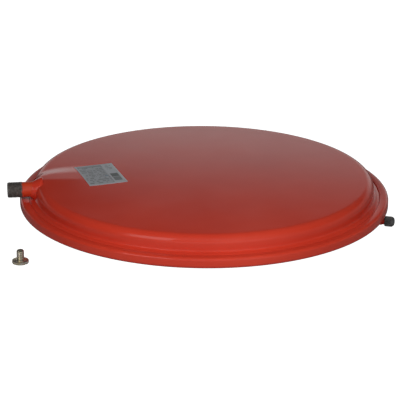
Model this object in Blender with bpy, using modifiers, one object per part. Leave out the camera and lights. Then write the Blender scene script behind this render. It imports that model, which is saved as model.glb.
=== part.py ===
"""Flat round steel expansion vessel: two pressed shells seamed over a rubber diaphragm, with a
radial water nipple, a radial gas valve and a loose fixing screw. Metres, +Z up; the origin is the
centre of the flat base face, and the water nipple points along -X."""

import math

import bmesh
import bpy
from mathutils import Euler, Vector

MM = 0.001
SEGMENTS = 64

RIM_RADIUS = 193.5 * MM
RIM_BOTTOM = 18.0 * MM
RIM_TOP = 29.3 * MM
RIM_CORNER = 3.2 * MM
SHEET = 1.1 * MM
GAP = 0.3 * MM

DOME_RADIUS = 178.1 * MM
DOME_SHOULDER_Z = 46.35 * MM
DOME_SHOULDER_ROUND = 8.8 * MM
DOME_CROWN = 3.0 * MM
SEAM_LEG_RADIUS = 184.6 * MM
FLANGE_RADIUS = 189.2 * MM
FLANGE_TOP = 27.9 * MM
BASE_FLAT_RADIUS = 118.0 * MM
DIAPHRAGM_GAP = 1.2 * MM
DIAPHRAGM_THICKNESS = 1.8 * MM

NIPPLE_Z = 40.2 * MM
NIPPLE_END = 206.5 * MM
NIPPLE_INNER = 176.6 * MM
NIPPLE_RADIUS = 8.33 * MM
NIPPLE_BORE = 5.8 * MM
COLLAR_RADIUS = 11.9 * MM
COLLAR_LEAN = 0.2
COLLAR_GAP = 0.55 * MM
BOSS_APEX = 181.0 * MM
BOSS_RAISE = 2.6 * MM
BOSS_LENGTH = 80.0 * MM
BOSS_HALF_WIDTH = 33.5 * MM
BOSS_SPREAD = 11.0 * MM
BOSS_RIDGE = 2.0 * MM
BOSS_FLANK = 95.0 * MM
BOSS_FLANK_SPREAD = 22.0 * MM
BOSS_FALL = 0.8 * MM

VALVE_ANGLE = -21.3
VALVE_Z = 13.0 * MM
STEM_MOUTH = 199.9 * MM
STEM_INNER = 157.0 * MM
STEM_THREAD_RADIUS = 3.85 * MM
STEM_BASE_RADIUS = 4.3 * MM
STEM_BORE = 2.95 * MM
STEM_SHOULDER = 189.5 * MM
GAS_PASSAGE = 1.5 * MM
CAP_START = 192.3 * MM
CAP_END = 202.5 * MM
CAP_RADIUS = 5.4 * MM
SPRING_WIRE = 0.3 * MM
SPRING_RADIUS = 0.85 * MM
SPRING_TURNS = 5
SPRING_TOP = 6.4
SPRING_BOTTOM = 10.3

LABEL_CENTRE = (-107.8 * MM, 14.0 * MM)
LABEL_SIZE = (63.0 * MM, 41.0 * MM)
LABEL_TURN = -80.5
LABEL_THICKNESS = 0.3 * MM
LABEL_GAP = 0.4 * MM

SCREW_POSITION = (-201.5 * MM, -104.8 * MM)
SCREW_HEAD_RADIUS = 8.4 * MM
SCREW_HEAD_HEIGHT = 3.5 * MM
SCREW_SHANK_RADIUS = 3.9 * MM
SCREW_HEIGHT = 14.4 * MM
SCREW_SLOT = (1.8 * MM, 1.7 * MM)
SCREW_TURN = -52.0


def clear_scene():
    for obj in list(bpy.data.objects):
        bpy.data.objects.remove(obj, do_unlink=True)


def new_collection(name):
    collection = bpy.data.collections.new(name)
    bpy.context.scene.collection.children.link(collection)
    return collection


def new_material(name, colour, roughness, metallic=0.0):
    material = bpy.data.materials.new(name)
    material.use_nodes = True
    shader = material.node_tree.nodes["Principled BSDF"]
    shader.inputs["Base Color"].default_value = (*colour, 1.0)
    shader.inputs["Roughness"].default_value = roughness
    shader.inputs["Metallic"].default_value = metallic
    return material


def new_axis(name, location, rotation, collection):
    """An empty whose local +Z lies along the axis of the pieces parented to it."""
    axis = bpy.data.objects.new(name, None)
    axis.empty_display_size = 0.02
    axis.location = location
    axis.rotation_euler = rotation
    collection.objects.link(axis)
    return axis


def add_object(name, mesh, collection, material=None, parent=None):
    obj = bpy.data.objects.new(name, mesh)
    collection.objects.link(obj)
    obj.parent = parent
    if material:
        mesh.materials.append(material)
    return obj


def arc(centre, radius, start, end, steps):
    """Points (r, z) on an arc, with its angles in degrees."""
    points = []
    for i in range(steps + 1):
        angle = math.radians(start + (end - start) * i / steps)
        points.append((centre[0] + radius * math.cos(angle), centre[1] + radius * math.sin(angle)))
    return points


def offset_path(path, distance):
    """The path moved to its right-hand side, with mitred corners."""
    moved = []
    for i, (r, z) in enumerate(path):
        before = path[max(i - 1, 0)]
        after = path[min(i + 1, len(path) - 1)]
        normals = []
        for a, b in ((before, (r, z)), ((r, z), after)):
            length = math.hypot(b[0] - a[0], b[1] - a[1])
            if length > 1e-9:
                normals.append(((b[1] - a[1]) / length, -(b[0] - a[0]) / length))
        nr = sum(n[0] for n in normals) / len(normals)
        nz = sum(n[1] for n in normals) / len(normals)
        scale = distance / (nr * nr + nz * nz)
        moved.append((r + nr * scale, z + nz * scale))
    return moved


def turned(name, profile, collection, material=None, parent=None, ring=False, steps=SEGMENTS):
    """A profile of (r, z) points turned round local Z; a ring profile is a closed loop."""
    mesh = bpy.data.meshes.new(name)
    edges = [(i, i + 1) for i in range(len(profile) - 1)]
    if ring:
        edges.append((len(profile) - 1, 0))
    mesh.from_pydata([(r, 0.0, z) for r, z in profile], edges, [])
    obj = add_object(name, mesh, collection, material, parent)
    screw = obj.modifiers.new("turn", "SCREW")
    screw.axis = "Z"
    screw.steps = steps
    screw.render_steps = steps
    screw.use_merge_vertices = True
    screw.merge_threshold = 0.00001
    screw.use_smooth_shade = True
    return obj


def made_solid(obj):
    """The object with its modifiers applied, keeping its name and place."""
    graph = bpy.context.evaluated_depsgraph_get()
    mesh = bpy.data.meshes.new_from_object(obj.evaluated_get(graph))
    obj.modifiers.clear()
    obj.data = mesh
    return obj


def cut(obj, cutter, operation="DIFFERENCE"):
    boolean = obj.modifiers.new(f"{operation.lower()} {cutter.name}", "BOOLEAN")
    boolean.operation = operation
    boolean.solver = "EXACT"
    boolean.object = cutter
    cutter.hide_render = True
    cutter.display_type = "WIRE"


def weld_corners(obj):
    """Joins the corners that a cut leaves almost on top of each other."""
    weld = obj.modifiers.new("close corners", "WELD")
    weld.merge_threshold = 0.02 * MM


def cylinder(name, radius, span, collection, parent, vertices):
    """A plain cylinder along its parent's Z, between the two positions of the span."""
    mesh = bpy.data.meshes.new(name)
    shape = bmesh.new()
    depth = span[1] - span[0]
    bmesh.ops.create_cone(
        shape, cap_ends=True, segments=vertices, radius1=radius, radius2=radius, depth=depth
    )
    bmesh.ops.translate(shape, verts=shape.verts, vec=(0.0, 0.0, (span[0] + span[1]) / 2))
    shape.to_mesh(mesh)
    shape.free()
    return add_object(name, mesh, collection, parent=parent)


def smoothstep(value, low, high):
    t = min(max((value - low) / (high - low), 0.0), 1.0)
    return t * t * (3.0 - 2.0 * t)


def dome_z(radius):
    """Height of the plain crowned top at a radius inside the shoulder."""
    flat = DOME_RADIUS - DOME_SHOULDER_ROUND
    return DOME_SHOULDER_Z + DOME_CROWN * (1.0 - min(radius / flat, 1.0) ** 2)


def boss_rise(x, y, z):
    """Lift of the tongue pressed behind the nipple: a short flank at +Y and a long one at -Y."""
    inward = max(BOSS_APEX + x, 0.0)
    along = 1.0 - smoothstep(inward, 5.0 * MM, BOSS_LENGTH)
    if y > BOSS_RIDGE:
        middle = 2.0 * MM + BOSS_HALF_WIDTH * (1.0 - math.exp(-inward / BOSS_SPREAD))
        slope = 2.0 * MM + 0.3 * middle
        rise = BOSS_RAISE * along * (1.0 - smoothstep(y, middle - slope, middle + slope))
    else:
        flank = 15.0 * MM + BOSS_FLANK * (1.0 - math.exp(-inward / BOSS_FLANK_SPREAD))
        near = max(1.0 - (BOSS_RIDGE - y) / flank, 0.0) ** 1.5
        far = 1.0 - smoothstep(inward, 30.0 * MM, 130.0 * MM)
        rise = BOSS_RAISE * along * near - BOSS_FALL * far * (1.0 - near)
    return rise * smoothstep(z, 34.0 * MM, 44.0 * MM)


def press_boss(obj):
    for vertex in made_solid(obj).data.vertices:
        vertex.co.z += boss_rise(*vertex.co)


def dome_outer_path():
    flat = DOME_RADIUS - DOME_SHOULDER_ROUND
    radii = (0.0, 60.0 * MM, 100.0 * MM, 125.0 * MM, 147.0 * MM)
    path = [(r, dome_z(r)) for r in radii]
    path += arc((flat, DOME_SHOULDER_Z - DOME_SHOULDER_ROUND), DOME_SHOULDER_ROUND, 90, 0, 4)
    path.append((DOME_RADIUS, 33.2 * MM))
    path += [(178.7 * MM, 31.1 * MM), (180.1 * MM, 29.9 * MM), (181.7 * MM, 29.6 * MM)]
    path += [(183.1 * MM, 28.9 * MM), (184.2 * MM, 27.9 * MM)]
    return path


def upper_shell(collection, cutters, axis, paint):
    outer = dome_outer_path() + [(FLANGE_RADIUS, FLANGE_TOP)]
    inner = offset_path(outer, SHEET)
    inner[0] = (0.0, inner[0][1])
    shell = turned("upper_shell", outer + inner[::-1], collection, paint)
    press_boss(shell)
    cut(shell, cylinder("nipple_hole", NIPPLE_RADIUS + GAP, (173 * MM, 215 * MM), cutters, axis, 32))
    weld_corners(shell)


def lower_outer_path():
    """From the seam's upper leg round the rim and down to the centre of the base."""
    mid = RIM_RADIUS - RIM_CORNER
    path = [(SEAM_LEG_RADIUS, RIM_TOP)]
    path += arc((mid, RIM_TOP - RIM_CORNER), RIM_CORNER, 90, 0, 3)
    path += arc((mid, RIM_BOTTOM + RIM_CORNER), RIM_CORNER, 0, -90, 3)
    slope = ((184.0, 18.0), (180.0, 17.1), (175.0, 15.1), (167.0, 11.4), (158.0, 7.6))
    slope += ((147.0, 3.9), (134.0, 1.1))
    path += [(r * MM, z * MM) for r, z in slope]
    path += [(BASE_FLAT_RADIUS, 0.0), (0.0, 0.0)]
    return path


def lower_shell(collection, cutters, axis, paint):
    outer = lower_outer_path()
    inner = offset_path(outer, SHEET)
    shell = turned("lower_shell", inner[::-1] + outer, collection, paint)
    cut(shell, cylinder("gas_hole", GAS_PASSAGE, (140 * MM, 188 * MM), cutters, axis, 12))


def diaphragm(collection, rubber):
    """The rubber sheet lies under the water shell and thickens to a bead inside the seam."""
    face = offset_path(dome_outer_path()[:10], SHEET + DIAPHRAGM_GAP)
    face[0] = (0.0, face[0][1])
    face += [(r * MM, z * MM) for r, z in ((176.4, 28.6), (179.5, 25.6), (183.6, 24.2))]
    back = offset_path(face, DIAPHRAGM_THICKNESS)
    back[0] = (0.0, back[0][1])
    low = RIM_BOTTOM + SHEET + GAP
    high = FLANGE_TOP - SHEET - GAP
    left = 185.4 * MM
    right = RIM_RADIUS - SHEET - GAP
    round_off = 1.0 * MM
    bead = [(left, high - round_off), (left + round_off, high), (right - round_off, high)]
    bead += [(right, high - round_off), (right, low + 2 * round_off), (right - 2 * round_off, low)]
    bead += [(left + round_off, low), (left, low + round_off)]
    turned("diaphragm", face + bead + back[::-1], collection, rubber)


def water_nipple(collection, axis, steel):
    chamfer = 0.9 * MM
    profile = [(NIPPLE_RADIUS - chamfer, NIPPLE_END), (NIPPLE_RADIUS, NIPPLE_END - chamfer)]
    profile += [(NIPPLE_RADIUS, NIPPLE_INNER), (NIPPLE_BORE, NIPPLE_INNER)]
    profile += [(NIPPLE_BORE, NIPPLE_END - chamfer / 2), (NIPPLE_BORE + chamfer / 2, NIPPLE_END)]
    turned("water_nipple", profile, collection, steel, axis, ring=True, steps=32)


def nipple_collar(collection, cutters, axis, paint):
    """A weld collar that leans inwards at its top, and is notched to the shoulder behind it."""
    bore = NIPPLE_RADIUS + GAP
    edge = 0.9 * MM
    profile = [(bore + 0.5 * MM, 181.6 * MM), (COLLAR_RADIUS, 175.8 * MM)]
    profile += [(COLLAR_RADIUS, 172.8 * MM), (COLLAR_RADIUS - edge, 172.8 * MM - edge)]
    profile += [(bore, 172.8 * MM - edge), (bore, 181.6 * MM)]
    collar = turned("nipple_collar", profile, collection, paint, axis, ring=True, steps=32)
    for vertex in made_solid(collar).data.vertices:
        vertex.co.z -= COLLAR_LEAN * vertex.co.x
    path = offset_path(dome_outer_path(), -COLLAR_GAP)
    path[0] = (0.0, path[0][1])
    path += [(path[-1][0], 15.0 * MM), (0.0, 15.0 * MM)]
    envelope = turned("upper_shell_envelope", path, cutters)
    press_boss(envelope)
    cut(collar, envelope)
    weld_corners(collar)


def rating_label(collection, paper):
    """A thin label that follows the crown and the edge of the pressed fan."""
    mesh = bpy.data.meshes.new("rating_label")
    shape = bmesh.new()
    bmesh.ops.create_grid(shape, x_segments=10, y_segments=7, size=0.5)
    turn = Euler((0.0, 0.0, math.radians(LABEL_TURN))).to_matrix()
    centre = Vector((*LABEL_CENTRE, 0.0))
    for vertex in shape.verts:
        local = Vector((vertex.co.x * LABEL_SIZE[0], vertex.co.y * LABEL_SIZE[1], 0.0))
        place = turn @ local + centre
        height = dome_z(place.xy.length)
        lift = boss_rise(place.x, place.y, height)
        vertex.co = local + Vector((0.0, 0.0, height + lift + LABEL_GAP))
    shape.to_mesh(mesh)
    shape.free()
    label = add_object("rating_label", mesh, collection, paper)
    label.location = centre
    label.rotation_euler.z = math.radians(LABEL_TURN)
    sheet = label.modifiers.new("sheet", "SOLIDIFY")
    sheet.thickness = LABEL_THICKNESS
    sheet.offset = 1.0


def core_z(depth):
    """Position along the valve axis at a depth in millimetres below the stem's mouth."""
    return STEM_MOUTH - depth * MM


def valve_stem(collection, cutters, axis, paint):
    """A turned stem, notched to the sloping shell that it is welded to."""
    step = 0.5 * MM
    profile = [(STEM_THREAD_RADIUS - step, STEM_MOUTH), (STEM_THREAD_RADIUS, STEM_MOUTH - step)]
    profile += [(STEM_THREAD_RADIUS, STEM_SHOULDER), (STEM_BASE_RADIUS, STEM_SHOULDER - step)]
    profile += [(STEM_BASE_RADIUS, STEM_INNER), (GAS_PASSAGE, STEM_INNER)]
    profile += [(GAS_PASSAGE, core_z(18.0)), (STEM_BORE, core_z(16.9)), (STEM_BORE, STEM_MOUTH)]
    stem = turned("valve_stem", profile, collection, paint, axis, ring=True, steps=24)
    path = offset_path(lower_outer_path(), -GAP)
    path[-1] = (0.0, path[-1][1])
    path.insert(0, (0.0, path[0][1]))
    cut(stem, turned("lower_shell_envelope", path, cutters))


def core_ring(name, profile, collection, material, axis):
    """A turned ring from (radius, depth) pairs in millimetres, outermost end first."""
    points = [(r * MM, core_z(depth)) for r, depth in profile]
    turned(name, points, collection, material, axis, ring=True, steps=16)


def valve_core(collection, axis, brass, rubber, steel):
    nut = [(2.3, 1.0), (2.6, 1.3), (2.6, 4.6), (0.8, 4.6), (0.8, 1.0)]
    barrel = [(2.5, 4.9), (2.5, 6.0), (1.75, 6.0), (1.75, 12.2)]
    barrel += [(0.75, 12.2), (0.75, 10.8), (1.3, 10.8), (1.3, 4.9)]
    gasket = [(2.65, 6.3), (2.65, 7.4), (2.4, 8.6), (2.05, 8.6), (2.05, 6.3)]
    seal = [(1.6, 12.5), (1.8, 12.7), (1.8, 14.3), (0.7, 14.3), (0.7, 12.5)]
    core_ring("core_nut", nut, collection, brass, axis)
    core_ring("core_barrel", barrel, collection, brass, axis)
    core_ring("core_gasket", gasket, collection, rubber, axis)
    core_ring("core_seal", seal, collection, rubber, axis)
    pin = [(0.0, 0.5), (0.3, 0.5), (0.4, 0.7), (0.4, 5.2), (0.95, 5.2), (0.95, 5.9), (0.4, 5.9)]
    pin += [(0.4, 14.6), (0.9, 14.6), (0.9, 15.0), (0.0, 15.0)]
    points = [(r * MM, core_z(depth)) for r, depth in pin]
    turned("core_pin", points, collection, brass, axis, steps=12)
    core_spring(collection, axis, steel)


def core_spring(collection, axis, steel):
    """A coil spring between the pin's collar and the barrel's inner shoulder."""
    curve = bpy.data.curves.new("core_spring", "CURVE")
    curve.dimensions = "3D"
    curve.bevel_depth = SPRING_WIRE / 2
    curve.bevel_resolution = 1
    curve.use_fill_caps = True
    count = SPRING_TURNS * 12
    spline = curve.splines.new("POLY")
    spline.points.add(count)
    for i, point in enumerate(spline.points):
        angle = math.tau * i / 12
        height = core_z(SPRING_TOP + (SPRING_BOTTOM - SPRING_TOP) * i / count)
        point.co = (SPRING_RADIUS * math.cos(angle), SPRING_RADIUS * math.sin(angle), height, 1.0)
    add_object("core_spring", curve, collection, steel, axis)


def valve_cap(collection, axis, plastic, rubber):
    wall = STEM_THREAD_RADIUS + GAP
    inside = CAP_END - 1.4 * MM
    profile = [(0.0, CAP_END), (3.6 * MM, CAP_END), (4.9 * MM, CAP_END - 0.9 * MM)]
    profile += [(CAP_RADIUS, CAP_END - 2.3 * MM), (CAP_RADIUS, CAP_START + 0.7 * MM)]
    profile += [(CAP_RADIUS - 0.5 * MM, CAP_START), (wall, CAP_START), (wall, inside)]
    profile += [(0.0, inside)]
    turned("valve_cap", profile, collection, plastic, axis, steps=32)
    high = inside - GAP
    low = STEM_MOUTH + GAP
    seal = [(3.6 * MM, high), (3.6 * MM, low), (1.2 * MM, low), (1.2 * MM, high)]
    turned("cap_seal", seal, collection, rubber, axis, ring=True, steps=20)


def fixing_screw(collection, cutters, steel):
    """A slotted machine screw that stands on its wide flat head."""
    head = SCREW_HEAD_RADIUS
    shank = SCREW_SHANK_RADIUS
    edge = 0.5 * MM
    tip = 1.3 * MM
    profile = [(0.0, SCREW_HEIGHT), (shank - tip, SCREW_HEIGHT), (shank, SCREW_HEIGHT - tip)]
    profile += [(shank, SCREW_HEAD_HEIGHT), (head - edge, SCREW_HEAD_HEIGHT)]
    profile += [(head, SCREW_HEAD_HEIGHT - edge), (head, edge), (head - edge, 0.0), (0.0, 0.0)]
    screw = turned("fixing_screw", profile, collection, steel, steps=32)
    screw.location = (*SCREW_POSITION, 0.0)
    screw.rotation_euler.z = math.radians(SCREW_TURN)
    mesh = bpy.data.meshes.new("screw_slot")
    shape = bmesh.new()
    bmesh.ops.create_cube(shape, size=1.0)
    bmesh.ops.scale(shape, verts=shape.verts, vec=(2.6 * head, SCREW_SLOT[0], 2 * SCREW_SLOT[1]))
    shape.to_mesh(mesh)
    shape.free()
    slot = add_object("screw_slot", mesh, cutters, parent=screw)
    cut(screw, slot)


def main():
    clear_scene()
    parts = new_collection("expansion_vessel")
    cutters = new_collection("cutters")
    paint = new_material("red enamel", (0.53, 0.05, 0.022), 0.33)
    paper = new_material("silver label", (0.36, 0.36, 0.39), 0.4)
    bare = new_material("blackened steel", (0.05, 0.045, 0.04), 0.45, 0.8)
    zinc = new_material("zinc plated steel", (0.62, 0.58, 0.45), 0.25, 1.0)
    steel = new_material("spring steel", (0.5, 0.5, 0.5), 0.3, 1.0)
    brass = new_material("brass", (0.65, 0.45, 0.18), 0.3, 1.0)
    rubber = new_material("black rubber", (0.02, 0.02, 0.02), 0.7)
    plastic = new_material("black plastic", (0.015, 0.015, 0.016), 0.45)
    quarter = math.radians(90.0)
    nipple_axis = new_axis("nipple_axis", (0.0, 0.0, NIPPLE_Z), (0.0, -quarter, 0.0), parts)
    turn = (0.0, quarter, math.radians(VALVE_ANGLE))
    valve_axis = new_axis("valve_axis", (0.0, 0.0, VALVE_Z), turn, parts)
    upper_shell(parts, cutters, nipple_axis, paint)
    lower_shell(parts, cutters, valve_axis, paint)
    diaphragm(parts, rubber)
    water_nipple(parts, nipple_axis, bare)
    nipple_collar(parts, cutters, nipple_axis, paint)
    rating_label(parts, paper)
    valve_stem(parts, cutters, valve_axis, paint)
    valve_core(parts, valve_axis, brass, rubber, steel)
    valve_cap(parts, valve_axis, plastic, rubber)
    fixing_screw(parts, cutters, zinc)


main()
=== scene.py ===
"""Looks for the flat round expansion vessel: fine surfaces over the CAD frame, procedural
materials, a pale floor, soft light and a camera low in front of the vessel."""

import math

import bmesh
import bpy
from mathutils import Euler, Matrix, Vector
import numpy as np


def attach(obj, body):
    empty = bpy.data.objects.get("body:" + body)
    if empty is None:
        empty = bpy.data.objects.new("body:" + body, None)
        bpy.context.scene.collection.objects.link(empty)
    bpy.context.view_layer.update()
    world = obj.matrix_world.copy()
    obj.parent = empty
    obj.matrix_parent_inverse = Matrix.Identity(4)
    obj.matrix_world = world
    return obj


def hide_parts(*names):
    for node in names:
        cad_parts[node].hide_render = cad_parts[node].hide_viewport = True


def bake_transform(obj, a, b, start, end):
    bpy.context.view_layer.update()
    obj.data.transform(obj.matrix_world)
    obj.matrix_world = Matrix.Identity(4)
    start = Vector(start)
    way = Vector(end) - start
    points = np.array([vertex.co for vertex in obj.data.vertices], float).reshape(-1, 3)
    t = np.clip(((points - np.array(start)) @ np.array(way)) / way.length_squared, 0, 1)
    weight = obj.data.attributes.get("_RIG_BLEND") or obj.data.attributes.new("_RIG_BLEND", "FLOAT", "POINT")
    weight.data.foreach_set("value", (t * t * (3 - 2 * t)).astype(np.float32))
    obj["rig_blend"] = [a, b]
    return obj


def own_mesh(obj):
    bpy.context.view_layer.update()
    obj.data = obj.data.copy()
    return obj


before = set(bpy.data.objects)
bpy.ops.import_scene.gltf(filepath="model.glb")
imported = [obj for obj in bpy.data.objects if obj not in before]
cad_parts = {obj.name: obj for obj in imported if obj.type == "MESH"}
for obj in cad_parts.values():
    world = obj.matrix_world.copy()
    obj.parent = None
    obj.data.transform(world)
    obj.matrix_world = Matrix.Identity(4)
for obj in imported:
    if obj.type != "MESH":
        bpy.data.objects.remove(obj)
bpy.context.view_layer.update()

MM = 0.001

# Driving dimensions, in millimetres, as in the CAD part.
RIM_RADIUS = 193.5
RIM_BOTTOM = 18.0
RIM_TOP = 29.3
RIM_CORNER = 3.2
SHEET = 1.1
DOME_RADIUS = 178.1
DOME_SHOULDER_Z = 46.35
DOME_ROUND = 8.8
DOME_CROWN = 3.0
NIPPLE_Z = 40.2
NIPPLE_END = 206.5
NIPPLE_INNER = 176.6
NIPPLE_CREST = 8.3
NIPPLE_PLAIN = 7.8
NIPPLE_BORE = 5.8
NIPPLE_PITCH = 1.337
THREAD_START = 192.0
COLLAR_RADIUS = 11.9
COLLAR_LEAN = 0.2
BOSS_APEX = 181.0
BOSS_RAISE = 2.6
BOSS_LENGTH = 80.0
BOSS_HALF_WIDTH = 33.5
BOSS_SPREAD = 11.0
BOSS_RIDGE = 2.0
BOSS_FLANK = 95.0
BOSS_FLANK_SPREAD = 22.0
BOSS_FALL = 0.8
VALVE_ANGLE = -21.3
VALVE_Z = 13.0
STEM_MOUTH = 199.9
CAP_START = 192.3
CAP_END = 202.5
CAP_RADIUS = 5.4
CAP_RIBS = 20
LABEL_CENTRE = (-107.8, 14.0)
LABEL_SIZE = (63.0, 41.0)
LABEL_TURN = -80.5
SCREW_POSITION = (-201.5, -104.8)
SCREW_TURN = -52.0

# Floor: how strongly it shines for the camera alone, its size and its clearance in metres.
FLOOR_GLOW = 1.1
FLOOR_SIZE = 7.0
FLOOR_DROP = 0.0004

# World, as directions: the sweep's upper edge, its light and the room's, its slant to the
# right, and how it fades at both ends (from x, to x, factor there, factor here).
SWEEP_TOP = (0.2, 0.345)
SWEEP_LIGHT = 0.72
ROOM_LIGHT = 0.03
SWEEP_SLANT = 0.4
SWEEP_SLANT_LIMIT = 0.05
SWEEP_LEFT_END = (-0.8, -0.35, 0.2, 1.0)
SWEEP_RIGHT_END = (0.35, 0.8, 1.0, 0.3)

# Area lights: name, place and size in metres, watts, and whether surfaces mirror them.
LIGHT_AIM = (0.0, 0.0, 0.03)
LIGHTS = [
    ("left softbox", (-1.3, -1.3, 1.0), (1.0, 1.0), 4.7, True),
    ("right softbox", (1.2, -1.4, 1.0), (1.0, 1.0), 2.8, False),
    ("top softbox", (-0.05, -0.62, 0.68), (0.9, 0.5), 1.8, False),
    ("front strip", (-0.1, -0.6, 0.38), (0.6, 0.25), 1.25, False),
]

# Camera, in degrees and millimetres.
CAMERA_DISTANCE = 2300.0
CAMERA_ELEVATION = 19.577
CAMERA_AZIMUTH = -8.83
CAMERA_ROLL = 0.476
CAMERA_AIM_Z = 34.3
CAMERA_LENS = 196.68
CAMERA_SHIFT = (-0.01055, -0.03287)


# ---------------------------------------------------------------- profiles


def arc(centre, radius, start, end, steps):
    """Points (r, z) on an arc, with its angles in degrees."""
    points = []
    for i in range(steps + 1):
        angle = math.radians(start + (end - start) * i / steps)
        points.append((centre[0] + radius * math.cos(angle), centre[1] + radius * math.sin(angle)))
    return points


def chaikin(path, rounds):
    """The open path with its corners cut off evenly, its ends kept."""
    for _ in range(rounds):
        cut = [path[0]]
        for a, b in zip(path, path[1:]):
            cut.append((0.75 * a[0] + 0.25 * b[0], 0.75 * a[1] + 0.25 * b[1]))
            cut.append((0.25 * a[0] + 0.75 * b[0], 0.25 * a[1] + 0.75 * b[1]))
        cut.append(path[-1])
        path = cut
    return path


def rounded(path, radius, ring=False, steps=4):
    """The path with every corner turned into an arc of about this radius."""
    done = []
    count = len(path)
    for i, point in enumerate(path):
        if not ring and i in (0, count - 1):
            done.append(point)
            continue
        here = Vector(point)
        before = Vector(path[i - 1])
        after = Vector(path[(i + 1) % count])
        into, out = here - before, after - here
        turn = into.angle(out, 0.0)
        if turn < 0.05 or radius <= 0.0:
            done.append(point)
            continue
        reach = min(radius * math.tan(turn / 2), 0.45 * into.length, 0.45 * out.length)
        start = here - into.normalized() * reach
        end = here + out.normalized() * reach
        for k in range(steps + 1):
            t = k / steps
            spot = start * (1 - t) ** 2 + here * (2 * t * (1 - t)) + end * t * t
            done.append((spot.x, spot.y))
    return done


def offset_path(path, distance):
    """The path moved to its right-hand side, with mitred corners."""
    moved = []
    for i, (r, z) in enumerate(path):
        before = path[max(i - 1, 0)]
        after = path[min(i + 1, len(path) - 1)]
        normals = []
        for a, b in ((before, (r, z)), ((r, z), after)):
            length = math.hypot(b[0] - a[0], b[1] - a[1])
            if length > 1e-9:
                normals.append(((b[1] - a[1]) / length, -(b[0] - a[0]) / length))
        nr = sum(n[0] for n in normals) / len(normals)
        nz = sum(n[1] for n in normals) / len(normals)
        scale = distance / (nr * nr + nz * nz)
        moved.append((max(r + nr * scale, 0.0), z + nz * scale))
    return moved


def refined(path, longest):
    """The path with long straight runs divided."""
    fine = [path[0]]
    for a, b in zip(path, path[1:]):
        count = max(1, math.ceil(math.hypot(b[0] - a[0], b[1] - a[1]) / longest))
        for k in range(1, count + 1):
            fine.append((a[0] + (b[0] - a[0]) * k / count, a[1] + (b[1] - a[1]) * k / count))
    return fine


# ---------------------------------------------------------------- meshes


def smoothstep(value, low, high):
    t = min(max((value - low) / (high - low), 0.0), 1.0)
    return t * t * (3.0 - 2.0 * t)


def lathe(name, path, steps=96, ring=False, warp=None, sharp=35.0):
    """A profile in millimetres turned round local Z; warp moves each point once it is placed."""
    shape = bmesh.new()
    rows = []
    for r, z in path:
        if r < 1e-5:
            rows.append([shape.verts.new((0.0, 0.0, z * MM))])
            continue
        row = []
        for k in range(steps):
            angle = math.tau * k / steps
            point = Vector((r * math.cos(angle), r * math.sin(angle), z))
            if warp:
                point = warp(point)
            row.append(shape.verts.new(point * MM))
        rows.append(row)
    pairs = list(zip(rows, rows[1:]))
    if ring:
        pairs.append((rows[-1], rows[0]))
    for upper, lower in pairs:
        for k in range(steps):
            j = (k + 1) % steps
            corners = [upper[k % len(upper)], lower[k % len(lower)]]
            corners += [lower[j % len(lower)], upper[j % len(upper)]]
            unique = list(dict.fromkeys(corners))
            if len(unique) > 2:
                shape.faces.new(unique)
    bmesh.ops.recalc_face_normals(shape, faces=shape.faces)
    mesh = bpy.data.meshes.new(name)
    shape.to_mesh(mesh)
    shape.free()
    mesh.shade_smooth()
    mesh.set_sharp_from_angle(angle=math.radians(sharp))
    obj = bpy.data.objects.new(name, mesh)
    bpy.context.scene.collection.objects.link(obj)
    return obj


def place(obj, body, material, nodes, slot, matrix=None):
    """Puts a finished piece on its body, with its material, in place of its CAD nodes."""
    if matrix is not None:
        obj.matrix_world = matrix
    obj.data.materials.clear()
    obj.data.materials.append(material)
    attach(obj, body)
    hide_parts(*nodes)
    return obj


def axis_matrix(angle, height):
    """Local +Z points outwards at this angle round the vessel, at this height."""
    turn = Euler((0.0, math.radians(90.0), math.radians(angle))).to_matrix().to_4x4()
    return Matrix.Translation((0.0, 0.0, height * MM)) @ turn


# ---------------------------------------------------------------- materials


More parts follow.
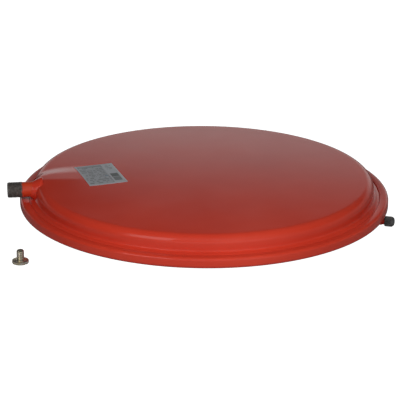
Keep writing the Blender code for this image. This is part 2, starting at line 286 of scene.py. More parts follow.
class Graph:
    """A material's node tree, with short ways to add the nodes that are used here."""

    def __init__(self, name, roughness=0.5, metallic=0.0, colour=(0.5, 0.5, 0.5)):
        self.material = bpy.data.materials.new(name)
        self.material.use_nodes = True
        self.tree = self.material.node_tree
        self.shader = self.tree.nodes["Principled BSDF"]
        self.shader.inputs["Roughness"].default_value = roughness
        self.shader.inputs["Metallic"].default_value = metallic
        self.shader.inputs["Base Color"].default_value = (*colour, 1.0)
        self.coords = self.tree.nodes.new("ShaderNodeTexCoord").outputs["Object"]

    def feed(self, socket, value):
        if isinstance(value, bpy.types.NodeSocket):
            self.tree.links.new(value, socket)
        elif isinstance(value, (tuple, list)) and len(socket.default_value) == 4:
            socket.default_value = (*value[:3], 1.0)
        else:
            socket.default_value = value

    def set(self, name, value):
        self.feed(self.shader.inputs[name], value)

    def maths(self, operation, a, b=None, clamp=False):
        node = self.tree.nodes.new("ShaderNodeMath")
        node.operation = operation
        node.use_clamp = clamp
        self.feed(node.inputs[0], a)
        if b is not None:
            self.feed(node.inputs[1], b)
        return node.outputs[0]

    def noise(self, scale, detail=2.0, roughness=0.5, coords=None, distortion=0.0):
        node = self.tree.nodes.new("ShaderNodeTexNoise")
        node.inputs["Scale"].default_value = scale
        node.inputs["Detail"].default_value = detail
        node.inputs["Roughness"].default_value = roughness
        node.inputs["Distortion"].default_value = distortion
        self.feed(node.inputs["Vector"], coords or self.coords)
        return node.outputs["Fac"]

    def stretched(self, factors):
        node = self.tree.nodes.new("ShaderNodeVectorMath")
        node.operation = "MULTIPLY"
        self.feed(node.inputs[0], self.coords)
        node.inputs[1].default_value = factors
        return node.outputs[0]

    def spread(self, value, low, high, to_low=0.0, to_high=1.0, smooth=False):
        node = self.tree.nodes.new("ShaderNodeMapRange")
        node.interpolation_type = "SMOOTHSTEP" if smooth else "LINEAR"
        self.feed(node.inputs["Value"], value)
        node.inputs["From Min"].default_value = low
        node.inputs["From Max"].default_value = high
        node.inputs["To Min"].default_value = to_low
        node.inputs["To Max"].default_value = to_high
        return node.outputs["Result"]

    def mix(self, factor, a, b, blend="MIX"):
        node = self.tree.nodes.new("ShaderNodeMix")
        node.data_type = "RGBA"
        node.blend_type = blend
        self.feed(node.inputs[0], factor)
        sockets = [s for s in node.inputs if s.type == "RGBA"]
        self.feed(sockets[0], a)
        self.feed(sockets[1], b)
        return [s for s in node.outputs if s.type == "RGBA"][0]

    def xyz(self, coords=None):
        node = self.tree.nodes.new("ShaderNodeSeparateXYZ")
        self.feed(node.inputs[0], coords or self.coords)
        return node.outputs

    def radius(self):
        """Distance from local Z."""
        x, y, _ = self.xyz()
        square = self.maths("ADD", self.maths("MULTIPLY", x, x), self.maths("MULTIPLY", y, y))
        return self.maths("SQRT", square)

    def bump(self, height, strength, distance):
        node = self.tree.nodes.new("ShaderNodeBump")
        node.inputs["Strength"].default_value = strength
        node.inputs["Distance"].default_value = distance
        self.feed(node.inputs["Height"], height)
        self.tree.links.new(node.outputs[0], self.shader.inputs["Normal"])
        return node


# ---------------------------------------------------------------- enamel and metals


def enamel(name, painted_shade=None):
    """Red stoved enamel: smooth, with a cloudy tone, faint dust nibs and uneven gloss, and painted shade
    where a mask is given.
    """
    g = Graph(name, roughness=0.2)
    cloud = g.noise(9.0, 3.0, 0.55)
    tone = g.mix(g.spread(cloud, 0.35, 0.68), (0.68, 0.047, 0.023), (0.74, 0.057, 0.028))
    nibs = g.spread(g.noise(420.0, 1.0, 0.5), 0.71, 0.76)
    tone = g.mix(g.maths("MULTIPLY", nibs, 0.12), tone, (0.70, 0.09, 0.05))
    # Painted shade: the tone is mixed towards a dark red where the mask lies, standing in for the shade in
    # the seam's groove.
    if painted_shade is not None:
        tone = g.mix(painted_shade(g), tone, (0.16, 0.012, 0.008))
    g.set("Base Color", tone)
    rubs = g.noise(60.0, 4.0, 0.6, g.stretched((1.0, 9.0, 1.0)))
    gloss = g.spread(g.noise(22.0, 3.0, 0.6), 0.3, 0.7, 0.15, 0.20)
    g.set("Roughness", g.maths("ADD", gloss, g.spread(rubs, 0.62, 0.75, 0.0, 0.03)))
    height = g.maths("ADD", g.maths("MULTIPLY", nibs, 0.12), g.noise(34.0, 1.0, 0.4))
    g.bump(height, 0.3, 0.0001)
    g.set("Specular IOR Level", 0.5)
    return g.material


def seam_painted_shade(g):
    """Painted shade: the paint is darkened in the groove between the upper shell and the seam's folded leg,
    where shade falls.
    """
    near = g.maths("ABSOLUTE", g.maths("SUBTRACT", g.radius(), 0.18445))
    groove = g.spread(near, 0.0, 0.0009, 0.3, 0.0, smooth=True)
    low = g.spread(g.xyz()[2], 0.0285, 0.0292, 1.0, 0.0)
    return g.maths("MULTIPLY", groove, low)


def steel_nipple():
    """Dark bare steel thread, with a ragged edge of red overspray where the paint starts."""
    g = Graph("nipple_steel", roughness=0.42)
    z = g.xyz()[2]
    ragged = g.maths("MULTIPLY", g.maths("SUBTRACT", g.noise(420.0, 3.0, 0.65), 0.5), 0.0042)
    painted = g.spread(g.maths("ADD", z, ragged), 0.1909, 0.1925, 1.0, 0.0)
    mottled = g.spread(g.noise(500.0, 4.0, 0.65), 0.35, 0.7)
    bare = g.mix(mottled, (0.075, 0.068, 0.062), (0.22, 0.20, 0.185))
    rust = g.spread(g.noise(700.0, 2.0, 0.5), 0.6, 0.72)
    bare = g.mix(g.maths("MULTIPLY", rust, 0.5), bare, (0.13, 0.055, 0.022))
    cloud = g.mix(g.noise(30.0, 2.0, 0.5), (0.60, 0.045, 0.014), (0.66, 0.060, 0.018))
    g.set("Base Color", g.mix(painted, bare, cloud))
    g.set("Metallic", g.maths("MULTIPLY", g.maths("SUBTRACT", 1.0, painted), 0.3))
    rough = g.spread(g.noise(800.0, 2.0, 0.5), 0.3, 0.7, 0.36, 0.5)
    g.set("Roughness", g.maths("SUBTRACT", rough, g.maths("MULTIPLY", painted, 0.08)))
    g.bump(g.noise(900.0, 3.0, 0.6), 0.25, 0.0002)
    return g.material


def zinc_plate():
    """Passivated zinc: bright, with a faint yellow-green and violet tint that drifts."""
    g = Graph("zinc_plate", metallic=0.92)
    drift = g.noise(210.0, 2.0, 0.5)
    tint = g.mix(g.spread(drift, 0.35, 0.65), (0.88, 0.78, 0.52), (0.90, 0.78, 0.72))
    pale = g.spread(g.noise(420.0, 3.0, 0.6), 0.45, 0.7)
    g.set("Base Color", g.mix(g.maths("MULTIPLY", pale, 0.6), tint, (0.96, 0.95, 0.88)))
    g.set("Roughness", g.spread(g.noise(900.0, 3.0, 0.6), 0.3, 0.7, 0.14, 0.26))
    g.bump(g.noise(1500.0, 2.0, 0.5), 0.12, 0.0001)
    return g.material


def turned_metal(name, low, high, roughness):
    """Metal with fine turning marks round local Z."""
    g = Graph(name, metallic=1.0)
    marks = g.noise(1.0, 3.0, 0.6, g.stretched((400.0, 400.0, 9000.0)))
    g.set("Base Color", g.mix(marks, low, high))
    g.set("Roughness", g.spread(marks, 0.3, 0.7, roughness - 0.06, roughness + 0.08))
    g.bump(marks, 0.15, 0.00004)
    return g.material


def moulded(name, colour, lighter, roughness, grain, sheen=0.0):
    """Moulded rubber or plastic with a fine grain and faint marks."""
    g = Graph(name)
    speck = g.noise(grain, 3.0, 0.6)
    bloom = g.noise(grain * 0.12, 2.0, 0.5)
    mixed = g.maths("ADD", g.maths("MULTIPLY", speck, 0.5), g.maths("MULTIPLY", bloom, 0.5))
    g.set("Base Color", g.mix(g.spread(mixed, 0.38, 0.66), colour, lighter))
    g.set("Roughness", g.spread(bloom, 0.3, 0.7, roughness - 0.07, roughness + 0.07))
    g.bump(speck, 0.3, 0.00012)
    g.set("Sheen Weight", sheen)
    return g.material


# ---------------------------------------------------------------- label


def boxed(g, u, v, low_u, high_u, low_v, high_v):
    """1 inside a rectangle given in millimetres from the label's centre."""
    inside = g.maths("GREATER_THAN", u, low_u * MM)
    inside = g.maths("MULTIPLY", inside, g.maths("LESS_THAN", u, high_u * MM))
    inside = g.maths("MULTIPLY", inside, g.maths("GREATER_THAN", v, low_v * MM))
    return g.maths("MULTIPLY", inside, g.maths("LESS_THAN", v, high_v * MM))


def printed_rows(g, u, v, pitch, share, dash):
    """Rows of broken dashes along u, with nothing that can be read."""
    row = g.maths("DIVIDE", v, pitch * MM)
    band = g.maths("LESS_THAN", g.maths("FRACT", row), share)
    place = g.tree.nodes.new("ShaderNodeCombineXYZ")
    g.feed(place.inputs[0], g.maths("DIVIDE", u, dash * MM))
    g.feed(place.inputs[1], g.maths("MULTIPLY", g.maths("FLOOR", row), 7.31))
    broken = g.maths("GREATER_THAN", g.noise(1.0, 1.0, 0.5, place.outputs[0]), 0.47)
    return g.maths("MULTIPLY", band, broken)


def label_foil():
    """Silver foil label: pale margins, a grey panel of unreadable rows and a dark square pair."""
    g = Graph("label_foil", roughness=0.38)
    u, v, _ = g.xyz()
    grain = g.noise(260.0, 3.0, 0.6)
    pale = g.mix(grain, (0.51, 0.53, 0.56), (0.62, 0.64, 0.68))
    grey = g.mix(grain, (0.40, 0.42, 0.45), (0.50, 0.52, 0.55))
    panel = boxed(g, u, v, -29.0, 28.5, -18.6, 7.6)
    face = g.mix(panel, pale, grey)
    head = boxed(g, u, v, -29.0, -24.5, -18.6, 7.6)
    face = g.mix(g.maths("MULTIPLY", head, 0.55), face, (0.12, 0.16, 0.17))
    rows = g.maths("MULTIPLY", printed_rows(g, v, u, 4.8, 0.5, 3.2), panel)
    rows = g.maths("MULTIPLY", rows, g.maths("SUBTRACT", 1.0, head))
    face = g.mix(g.maths("MULTIPLY", rows, 0.62), face, (0.055, 0.06, 0.065))
    note = boxed(g, u, v, -26.0, -12.0, 10.5, 17.0)
    small = g.maths("MULTIPLY", printed_rows(g, v, u, 3.6, 0.5, 2.2), note)
    face = g.mix(g.maths("MULTIPLY", small, 0.6), face, (0.09, 0.10, 0.11))
    for low, high, depth in ((1.0, 11.5, 0.86), (12.4, 23.5, 0.7)):
        block = boxed(g, u, v, low, high, 9.4, 17.6)
        face = g.mix(g.maths("MULTIPLY", block, depth), face, (0.05, 0.065, 0.06))
    spot = boxed(g, u, v, 4.0, 7.5, 3.4, 6.6)
    face = g.mix(g.maths("MULTIPLY", spot, 0.7), face, (0.09, 0.20, 0.30))
    g.set("Base Color", face)
    g.set("Metallic", 0.25)
    g.set("Roughness", g.spread(grain, 0.3, 0.7, 0.33, 0.43))
    g.bump(g.noise(180.0, 2.0, 0.5), 0.1, 0.0002)
    return g.material


# ---------------------------------------------------------------- shells


def dome_z(radius):
    flat = DOME_RADIUS - DOME_ROUND
    return DOME_SHOULDER_Z + DOME_CROWN * (1.0 - min(radius / flat, 1.0) ** 2)


def boss_rise(x, y, z):
    """Lift of the tongue pressed behind the nipple: a short flank at +Y and a long one at -Y."""
    inward = max(BOSS_APEX + x, 0.0)
    along = 1.0 - smoothstep(inward, 5.0, BOSS_LENGTH)
    if y > BOSS_RIDGE:
        middle = 2.0 + BOSS_HALF_WIDTH * (1.0 - math.exp(-inward / BOSS_SPREAD))
        slope = 2.0 + 0.3 * middle
        rise = BOSS_RAISE * along * (1.0 - smoothstep(y, middle - slope, middle + slope))
    else:
        flank = 15.0 + BOSS_FLANK * (1.0 - math.exp(-inward / BOSS_FLANK_SPREAD))
        near = max(1.0 - (BOSS_RIDGE - y) / flank, 0.0) ** 1.5
        far = 1.0 - smoothstep(inward, 30.0, 130.0)
        rise = BOSS_RAISE * along * near - BOSS_FALL * far * (1.0 - near)
    return rise * smoothstep(z, 34.0, 44.0)


def press_boss(point):
    return point + Vector((0.0, 0.0, boss_rise(*point)))


def upper_path():
    """Profile of the dome, wall, step and flange, from the middle outwards."""
    flat = DOME_RADIUS - DOME_ROUND
    radii = [0.0, 12.0, 30.0, 48.0, 62.0, 74.0] + [84.0 + 2.4 * i for i in range(35)]
    path = [(r, dome_z(r)) for r in radii if r < flat - 1.0]
    path += arc((flat, DOME_SHOULDER_Z - DOME_ROUND), DOME_ROUND, 90, 0, 16)
    step = [(DOME_RADIUS, 34.0), (178.15, 31.6), (178.6, 30.3), (180.3, 29.75), (182.0, 29.5)]
    step += [(183.4, 28.9), (184.3, 28.25), (185.6, 28.0), (189.2, 27.9)]
    return path + chaikin(step, 2)


def upper_shell(paint):
    outer = upper_path()
    inner = offset_path(outer, SHEET)
    inner[0] = (0.0, inner[0][1])
    shell = lathe("upper_shell_skin", outer + inner[::-1], 360, warp=press_boss, sharp=50.0)
    cutter = lathe("hole_cutter", [(0.0, 216.0), (8.6, 216.0), (8.6, 173.0), (0.0, 173.0)], 48)
    cutter.matrix_world = axis_matrix(180.0, NIPPLE_Z)
    boolean = shell.modifiers.new("hole", "BOOLEAN")
    boolean.object = cutter
    bpy.context.view_layer.update()
    graph = bpy.context.evaluated_depsgraph_get()
    mesh = bpy.data.meshes.new_from_object(shell.evaluated_get(graph))
    shell.modifiers.clear()
    shell.data = mesh
    bpy.data.objects.remove(cutter)
    mesh.shade_smooth()
    mesh.set_sharp_from_angle(angle=math.radians(50.0))
    place(shell, "vessel", paint, ["upper_shell"], "red_enamel")


def lower_path():
    """Profile of the dished lower shell and the seam rolled round the flange."""
    mid = RIM_RADIUS - RIM_CORNER
    path = arc((185.1, RIM_TOP - 0.55), 0.55, 180, 90, 4)
    path += arc((mid, RIM_TOP - RIM_CORNER), RIM_CORNER, 90, 0, 12)
    path += arc((mid, RIM_BOTTOM + RIM_CORNER), RIM_CORNER, 0, -90, 12)
    slope = [(184.0, 18.0), (180.0, 17.1), (175.0, 15.1), (167.0, 11.4), (158.0, 7.6)]
    slope += [(147.0, 3.9), (134.0, 1.1), (118.0, 0.0), (100.0, 0.0)]
    return path + chaikin([(187.0, 18.0)] + slope, 3) + [(60.0, 0.0), (0.0, 0.0)]


def lower_shell(paint):
    outer = lower_path()
    inner = offset_path(outer, SHEET)
    inner[0] = (184.7, RIM_TOP - SHEET)
    inner[-1] = (0.0, inner[-1][1])
    shell = lathe("lower_shell_skin", inner[::-1] + outer, 360, sharp=50.0)
    place(shell, "vessel", paint, ["lower_shell"], "red_enamel")


def diaphragm(rubber):
    flat = DOME_RADIUS - DOME_ROUND
    top = [(r, dome_z(r)) for r in range(0, 169, 8)]
    top += arc((flat, DOME_SHOULDER_Z - DOME_ROUND), DOME_ROUND, 90, 0, 8)
    face = offset_path(top, SHEET + 1.2)
    face[0] = (0.0, face[0][1])
    face += chaikin([(175.8, 33.0), (176.4, 28.6), (179.5, 25.6), (183.6, 24.2)], 2)
    back = offset_path(face, 1.8)
    back[0] = (0.0, back[0][1])
    bead = [(185.4, 25.5), (186.4, 26.5), (191.1, 26.5), (192.1, 25.5)]
    bead += [(192.1, 21.4), (190.1, 19.4), (186.4, 19.4), (185.4, 20.4)]
    sheet = lathe("diaphragm_rubber", face + rounded(bead, 0.9) + back[::-1], 180, sharp=60.0)
    sheet.data.materials.append(rubber)
    start = (0.0, 0.0, 0.0)
    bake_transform(sheet, "vessel", "membrane", start=start, end=(0.0, 0.0, 0.05))
    weights = sheet.data.attributes["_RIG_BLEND"].data
    for vertex, weight in zip(sheet.data.vertices, weights):
        radius = vertex.co.xy.length / MM
        weight.value = 1.0 - smoothstep(radius, 105.0, 184.0)
    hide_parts("diaphragm")


# ---------------------------------------------------------------- nipple


def thread_warp(low, high, crest, depth, pitch, runout):
    """Moves points at the crest radius in by a triangular right-hand thread."""

    def warp(point):
        radius = math.hypot(point.x, point.y)
        if radius < crest - 0.02 or not low <= point.z <= high:
            return point
        turn = math.atan2(point.y, point.x) / math.tau
        phase = (point.z / pitch + turn) % 1.0
        tooth = abs(2.0 * phase - 1.0)
        ends = min(smoothstep(point.z, low, low + runout), 1.0)
        factor = (radius - depth * ends * min(max(1.25 * tooth - 0.12, 0.0), 1.0)) / radius
        return Vector((point.x * factor, point.y * factor, point.z))

    return warp


def water_nipple(steel):
    outer = [(NIPPLE_CREST - 0.9, NIPPLE_END), (NIPPLE_CREST, NIPPLE_END - 0.9)]
    outer += refined([(NIPPLE_CREST, NIPPLE_END - 1.0), (NIPPLE_CREST, THREAD_START)], 0.11)
    outer += [(NIPPLE_PLAIN, THREAD_START - 0.7), (NIPPLE_PLAIN, NIPPLE_INNER)]
    bore = [(NIPPLE_BORE, NIPPLE_INNER), (NIPPLE_BORE, NIPPLE_END - 0.5)]
    bore += [(NIPPLE_BORE + 0.5, NIPPLE_END)]
    warp = thread_warp(THREAD_START, NIPPLE_END - 0.2, NIPPLE_CREST, 0.55, NIPPLE_PITCH, 1.6)
    nipple = lathe("nipple_thread", outer + bore, 96, ring=True, warp=warp)
    matrix = axis_matrix(180.0, NIPPLE_Z)
    place(nipple, "vessel", steel, ["water_nipple"], "black_steel", matrix)


def nipple_collar(paint):
    """A weld collar that leans inwards at its top, slightly uneven where it was run round."""

    def uneven(point):
        angle = math.atan2(point.y, point.x)
        wave = 0.10 * math.sin(5 * angle + 1.0) + 0.07 * math.sin(11 * angle)
        reach = smoothstep(math.hypot(point.x, point.y), 9.0, 11.5)
        return point + Vector((0.0, 0.0, COLLAR_LEAN * point.x + wave * reach))

    flare = [(8.0, 182.4), (8.5, 181.2), (9.6, 179.3), (10.9, 176.8), (11.7, 175.2)]
    flare += [(COLLAR_RADIUS, 174.2), (COLLAR_RADIUS, 173.0), (11.2, 172.0)]
    outer = chaikin(flare, 2)
    collar = lathe("weld_collar", outer + [(8.7, 172.0), (7.9, 176.0)], 96, ring=True, warp=uneven)
    matrix = axis_matrix(180.0, NIPPLE_Z)
    place(collar, "vessel", paint, ["nipple_collar"], "red_enamel", matrix)


# ---------------------------------------------------------------- label and screw


def rating_label(foil):
    shape = bmesh.new()
    bmesh.ops.create_grid(shape, x_segments=48, y_segments=34, size=0.5)
    turn = Euler((0.0, 0.0, math.radians(LABEL_TURN))).to_matrix()
    centre = Vector((*LABEL_CENTRE, 0.0))
    for vertex in shape.verts:
        local = Vector((vertex.co.x * LABEL_SIZE[0], vertex.co.y * LABEL_SIZE[1], 0.0))
        spot = turn @ local + centre
        height = dome_z(spot.xy.length)
        height += boss_rise(spot.x, spot.y, height) + 0.06
        vertex.co = (local + Vector((0.0, 0.0, height))) * MM
    mesh = bpy.data.meshes.new("label_sheet")
    shape.to_mesh(mesh)
    shape.free()
    mesh.shade_smooth()
    label = bpy.data.objects.new("label_sheet", mesh)
    bpy.context.scene.collection.objects.link(label)
    solid = label.modifiers.new("sheet", "SOLIDIFY")
    solid.thickness = 0.16 * MM
    solid.offset = 1.0
    matrix = Matrix.Translation(centre * MM) @ turn.to_4x4()
    place(label, "vessel", foil, ["rating_label"], "label_foil", matrix)


def fixing_screw(zinc):
    head = [(6.9, 3.5), (8.0, 3.35), (8.4, 2.9), (8.4, 0.6), (8.1, 0.12), (7.6, 0.0), (0.0, 0.0)]
    shank = [(0.0, 14.4), (1.6, 14.4), (2.9, 13.9), (3.75, 12.9)]
    thread = refined([(3.85, 12.5), (3.85, 5.2)], 0.12)
    neck = [(3.7, 4.9), (3.75, 4.0), (4.3, 3.55)]
    profile = rounded(shank, 0.6) + thread + neck + head
    warp = thread_warp(5.2, 12.6, 3.84, 0.22, 1.25, 0.6)
    screw = lathe("slotted_screw", profile, 96, warp=warp)
    matrix = Matrix.Translation(Vector((*SCREW_POSITION, 0.0)) * MM)
    shape = bmesh.new()
    bmesh.ops.create_cube(shape, size=1.0)
    bmesh.ops.scale(shape, verts=shape.verts, vec=(24.0 * MM, 1.8 * MM, 3.4 * MM))
    turn = Matrix.Rotation(math.radians(SCREW_TURN), 3, "Z")
    bmesh.ops.rotate(shape, verts=shape.verts, cent=(0.0, 0.0, 0.0), matrix=turn)
    mesh = bpy.data.meshes.new("slot_cutter")
    shape.to_mesh(mesh)
    shape.free()
    cutter = bpy.data.objects.new("slot_cutter", mesh)
    bpy.context.scene.collection.objects.link(cutter)
    boolean = screw.modifiers.new("slot", "BOOLEAN")
    boolean.object = cutter
    bpy.context.view_layer.update()
    graph = bpy.context.evaluated_depsgraph_get()
    cut_mesh = bpy.data.meshes.new_from_object(screw.evaluated_get(graph))
    screw.modifiers.clear()
    screw.data = cut_mesh
    bpy.data.objects.remove(cutter)
    cut_mesh.shade_smooth()
    cut_mesh.set_sharp_from_angle(angle=math.radians(35.0))
    place(screw, "screw", zinc, ["fixing_screw"], "zinc_steel", matrix)


# ---------------------------------------------------------------- valve


def deep(pairs):
    """(radius, depth below the stem's mouth) pairs as a profile along the valve's axis."""
    return [(r, STEM_MOUTH - depth) for r, depth in pairs]


def valve_stem(paint, matrix):
    outer = [(3.3, 0.0), (3.8, 0.5)] + refined([(3.8, 0.6), (3.8, 9.6)], 0.09)
    outer += [(3.55, 9.9), (3.55, 10.4), (4.25, 10.9), (4.25, 33.0)]
    bore = [(1.5, 33.0), (1.5, 17.8), (2.95, 16.9), (2.95, 0.3), (3.0, 0.0)]
    low = STEM_MOUTH - 9.7
    warp = thread_warp(low, STEM_MOUTH - 0.3, 3.79, 0.42, 0.794, 0.5)
    stem = lathe("stem_thread", deep(outer + bore), 72, ring=True, warp=warp)
    cutter = lathe("stem_cutter", [(0.0, 40.0)] + lower_cut() + [(0.0, 1.5)], 180)
    stem.matrix_world = matrix
    boolean = stem.modifiers.new("notch", "BOOLEAN")
    boolean.object = cutter
    bpy.context.view_layer.update()
    graph = bpy.context.evaluated_depsgraph_get()
    mesh = bpy.data.meshes.new_from_object(stem.evaluated_get(graph))
    stem.modifiers.clear()
    stem.data = mesh
    bpy.data.objects.remove(cutter)
    mesh.shade_smooth()
    mesh.set_sharp_from_angle(angle=math.radians(35.0))
    place(stem, "vessel", paint, ["valve_stem"], "red_enamel_stem", matrix)


def lower_cut():
    """The lower shell's sheet, a little inside its face, as a cutter for the stem."""
    slope = [(184.0, 18.0), (180.0, 17.1), (175.0, 15.1), (167.0, 11.4), (158.0, 7.6)]
    slope += [(147.0, 3.9)]
    inside = [(r, z + 0.5) for r, z in chaikin([(187.0, 18.0)] + slope, 2)]
    return [(187.0, 40.0)] + inside


def core_pieces(brass, rubber, steel, matrix):
    nut = [(2.25, 1.0), (2.6, 1.35), (2.6, 4.4), (2.4, 4.6), (0.8, 4.6), (0.8, 1.25), (1.05, 1.0)]
    barrel = [(2.5, 4.9), (2.5, 6.0), (1.75, 6.0), (1.75, 12.2), (0.75, 12.2), (0.75, 10.8)]
    barrel += [(1.3, 10.8), (1.3, 4.9)]
    gasket = [(2.65, 6.3), (2.65, 7.4), (2.4, 8.6), (2.05, 8.6), (2.05, 6.3)]
    seal = [(1.6, 12.5), (1.8, 12.7), (1.8, 14.3), (0.7, 14.3), (0.7, 12.5)]
    rings = (
        ("core_nut_turned", nut, 0.12, brass, "vessel", "core_nut", "core_brass"),
        ("core_barrel_turned", barrel, 0.1, brass, "vessel", "core_barrel", "core_brass"),
        ("core_gasket_ring", gasket, 0.15, rubber, "vessel", "core_gasket", "seal_rubber"),
        ("core_seal_cup", seal, 0.15, rubber, "pin", "core_seal", "seal_rubber"),
    )
    for name, profile, radius, material, body, node, slot in rings:
        ring = lathe(name, rounded(deep(profile), radius, ring=True), 48, ring=True)
        place(ring, body, material, [node], slot, matrix)
    pin = [(0.0, 0.5), (0.26, 0.5), (0.4, 0.62), (0.4, 5.2), (0.95, 5.2), (0.95, 5.9), (0.4, 5.9)]
    pin += [(0.4, 14.6), (0.9, 14.6), (0.9, 15.0), (0.0, 15.0)]
    piece = lathe("core_pin_turned", rounded(deep(pin), 0.08), 32)
    place(piece, "pin", brass, ["core_pin"], "core_brass", matrix)
    core_spring(steel, matrix)


def core_spring(steel, matrix):
    top, bottom, coils, around = 6.4, 10.3, 5, 24
    curve = bpy.data.curves.new("core_coil", "CURVE")
    curve.dimensions = "3D"
    curve.bevel_depth = 0.15 * MM
    curve.bevel_resolution = 3
    curve.use_fill_caps = True
    count = coils * around
    spline = curve.splines.new("POLY")
    spline.points.add(count)
    for i, point in enumerate(spline.points):
        angle = math.tau * i / around
        height = STEM_MOUTH - top - (bottom - top) * i / count
        point.co = (0.85 * MM * math.cos(angle), 0.85 * MM * math.sin(angle), height * MM, 1.0)
    guide = bpy.data.objects.new("core_coil_guide", curve)
    bpy.context.scene.collection.objects.link(guide)
    bpy.context.view_layer.update()
    graph = bpy.context.evaluated_depsgraph_get()
    mesh = bpy.data.meshes.new_from_object(guide.evaluated_get(graph))
    bpy.data.objects.remove(guide)
    mesh.shade_smooth()
    coil = bpy.data.objects.new("core_coil", mesh)
    bpy.context.scene.collection.objects.link(coil)
    place(coil, "pin", steel, ["core_spring"], "spring_steel", matrix)
    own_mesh(coil)


def valve_cap(plastic, rubber, matrix):
    def ribs(point):
        radius = math.hypot(point.x, point.y)
        if radius < 5.0:
            return point
        angle = math.atan2(point.y, point.x)
        ends = smoothstep(point.z, CAP_START + 0.5, CAP_START + 1.3)
        ends *= 1.0 - smoothstep(point.z, CAP_END - 3.6, CAP_END - 2.2)
        groove = 0.5 - 0.5 * math.cos(CAP_RIBS * angle)
        factor = 1.0 - 0.62 * ends * groove**0.7 / radius
        return Vector((point.x * factor, point.y * factor, point.z))

    skin = [(0.0, CAP_END), (2.0, CAP_END), (4.2, CAP_END - 0.8), (5.2, CAP_END - 2.6)]
    skin = chaikin(skin, 2) + refined([(CAP_RADIUS, CAP_END - 3.2), (CAP_RADIUS, 193.2)], 0.5)
    skin += [(5.3, 192.7), (4.95, CAP_START), (4.2, CAP_START), (4.15, 192.7)]
    skin += [(4.15, 201.1), (0.0, 201.1)]
    cap = lathe("valve_cap_ribbed", skin, CAP_RIBS * 12, warp=ribs)
    place(cap, "cap", plastic, ["valve_cap"], "cap_plastic", matrix)
    washer = [(3.6, 200.8), (3.6, 200.2), (1.2, 200.2), (1.2, 200.8)]
    seal = lathe("cap_washer", rounded(washer, 0.15, ring=True), 48, ring=True)
    place(seal, "cap_washer", rubber, ["cap_seal"], "seal_rubber", matrix)


# ---------------------------------------------------------------- stage


def add_floor():
    """A pale matt floor, which also shines evenly for the camera."""
    g = Graph("pale_floor", roughness=0.9)
    shade = g.mix(g.noise(3.0, 3.0, 0.5), (0.40, 0.40, 0.40), (0.43, 0.43, 0.43))
    g.set("Base Color", shade)
    g.set("Emission Color", (1.0, 1.0, 1.0))
    seen = g.tree.nodes.new("ShaderNodeLightPath").outputs["Is Camera Ray"]
    g.set("Emission Strength", g.maths("MULTIPLY", seen, FLOOR_GLOW))
    g.bump(g.noise(600.0, 2.0, 0.5), 0.03, 0.0002)
    shape = bmesh.new()
    bmesh.ops.create_grid(shape, x_segments=2, y_segments=2, size=FLOOR_SIZE)
    mesh = bpy.data.meshes.new("floor")
    shape.to_mesh(mesh)
    shape.free()
    floor = bpy.data.objects.new("floor", mesh)
    floor.location.z = -FLOOR_DROP
    floor.data.materials.append(g.material)
    bpy.context.scene.collection.objects.link(floor)


def add_world():
    """A white sweep low down, taller towards the right and fading at both ends, below a dim room."""
    world = bpy.data.worlds.new("studio")
    bpy.context.scene.world = world
    world.use_nodes = True
    nodes, links = world.node_tree.nodes, world.node_tree.links

    def maths(operation, a, b):
        node = nodes.new("ShaderNodeMath")
        node.operation = operation
        for socket, value in zip(node.inputs, (a, b)):
            if isinstance(value, float):
                socket.default_value = value
            else:
                links.new(value, socket)
        return node.outputs[0]

    split = nodes.new("ShaderNodeSeparateXYZ")
    links.new(nodes.new("ShaderNodeTexCoord").outputs["Generated"], split.inputs[0])
    across = maths("MULTIPLY", split.outputs[0], SWEEP_SLANT)
    across = maths("MAXIMUM", maths("MINIMUM", across, SWEEP_SLANT_LIMIT), -SWEEP_SLANT_LIMIT)
    ramp = nodes.new("ShaderNodeMapRange")
    ramp.interpolation_type = "SMOOTHSTEP"
    links.new(maths("SUBTRACT", split.outputs[2], across), ramp.inputs["Value"])
    ramp.inputs["From Min"].default_value = SWEEP_TOP[0]
    ramp.inputs["From Max"].default_value = SWEEP_TOP[1]
    ramp.inputs["To Min"].default_value = SWEEP_LIGHT
    ramp.inputs["To Max"].default_value = ROOM_LIGHT
    side = nodes.new("ShaderNodeMapRange")
    side.interpolation_type = "SMOOTHSTEP"
    links.new(split.outputs[0], side.inputs["Value"])
    for socket, value in zip(("From Min", "From Max", "To Min", "To Max"), SWEEP_LEFT_END):
        side.inputs[socket].default_value = value
    end = nodes.new("ShaderNodeMapRange")
    end.interpolation_type = "SMOOTHSTEP"
    links.new(split.outputs[0], end.inputs["Value"])
    for socket, value in zip(("From Min", "From Max", "To Min", "To Max"), SWEEP_RIGHT_END):
        end.inputs[socket].default_value = value
    lit = maths("MULTIPLY", ramp.outputs["Result"], side.outputs["Result"])
    lit = maths("MULTIPLY", lit, end.outputs["Result"])
    seen = nodes.new("ShaderNodeLightPath").outputs["Is Camera Ray"]
    unseen = maths("MULTIPLY", lit, maths("SUBTRACT", 1.0, seen))
    background = nodes["Background"]
    background.inputs["Color"].default_value = (1.0, 1.0, 1.0, 1.0)
    links.new(maths("ADD", unseen, seen), background.inputs["Strength"])


def add_light(name, position, size, power, mirrored):
    """A rectangular area light aimed at the vessel."""
    light = bpy.data.lights.new(name, "AREA")
    light.shape = "RECTANGLE"
    light.size, light.size_y = size
    light.energy = power
    obj = bpy.data.objects.new(name, light)
    obj.location = position
    aim = Vector(LIGHT_AIM) - Vector(position)
    obj.rotation_euler = aim.to_track_quat("-Z", "Y").to_euler()
    obj.visible_glossy = mirrored
    bpy.context.scene.collection.objects.link(obj)


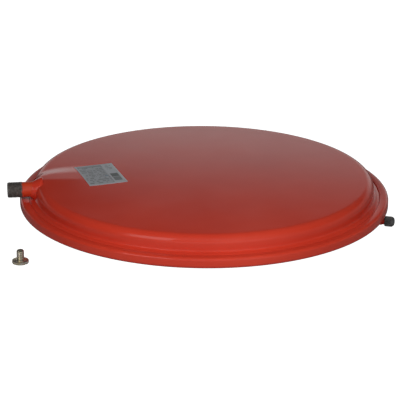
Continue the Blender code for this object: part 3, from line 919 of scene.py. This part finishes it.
def add_camera():
    """The camera, low in front of the vessel and turned a little to its left."""
    camera = bpy.data.cameras.new("camera")
    camera.sensor_width = 36.0
    camera.lens = CAMERA_LENS
    camera.shift_x, camera.shift_y = CAMERA_SHIFT
    camera.clip_start = 0.05
    obj = bpy.data.objects.new("camera", camera)
    azimuth, elevation = math.radians(CAMERA_AZIMUTH), math.radians(CAMERA_ELEVATION)
    flat = math.cos(elevation)
    back = Vector((math.sin(azimuth) * flat, -math.cos(azimuth) * flat, math.sin(elevation)))
    place_at = Vector((0.0, 0.0, CAMERA_AIM_Z)) + back * CAMERA_DISTANCE
    turn = (-back).to_track_quat("-Z", "Y").to_matrix().to_4x4()
    turn = turn @ Matrix.Rotation(math.radians(CAMERA_ROLL), 4, "Z")
    obj.matrix_world = Matrix.Translation(place_at * MM) @ turn
    bpy.context.scene.collection.objects.link(obj)
    bpy.context.scene.camera = obj


def main():
    valve = axis_matrix(VALVE_ANGLE, VALVE_Z)
    # The shells' paint carries painted shade in the seam's groove.
    shell_paint = enamel("shell_enamel", painted_shade=seam_painted_shade)
    paint = enamel("fitting_enamel")
    rubber = moulded("seal_rubber", (0.012, 0.012, 0.012), (0.03, 0.03, 0.03), 0.62, 900.0)
    sheet = moulded("diaphragm_butyl", (0.01, 0.01, 0.01), (0.028, 0.027, 0.026), 0.55, 380.0, 0.1)
    plastic = moulded("cap_plastic", (0.05, 0.05, 0.049), (0.13, 0.13, 0.127), 0.26, 1200.0)
    brass = turned_metal("core_brass", (0.50, 0.34, 0.12), (0.68, 0.50, 0.22), 0.26)
    steel = turned_metal("spring_wire", (0.36, 0.36, 0.37), (0.55, 0.55, 0.56), 0.28)
    upper_shell(shell_paint)
    lower_shell(shell_paint)
    diaphragm(sheet)
    water_nipple(steel_nipple())
    nipple_collar(paint)
    rating_label(label_foil())
    valve_stem(paint, valve)
    core_pieces(brass, rubber, steel, valve)
    valve_cap(plastic, rubber, valve)
    fixing_screw(zinc_plate())
    add_floor()
    add_world()
    for light in LIGHTS:
        add_light(*light)
    add_camera()
    bpy.context.scene.view_settings.view_transform = "Standard"
    bpy.context.scene.view_settings.look = "None"


main()
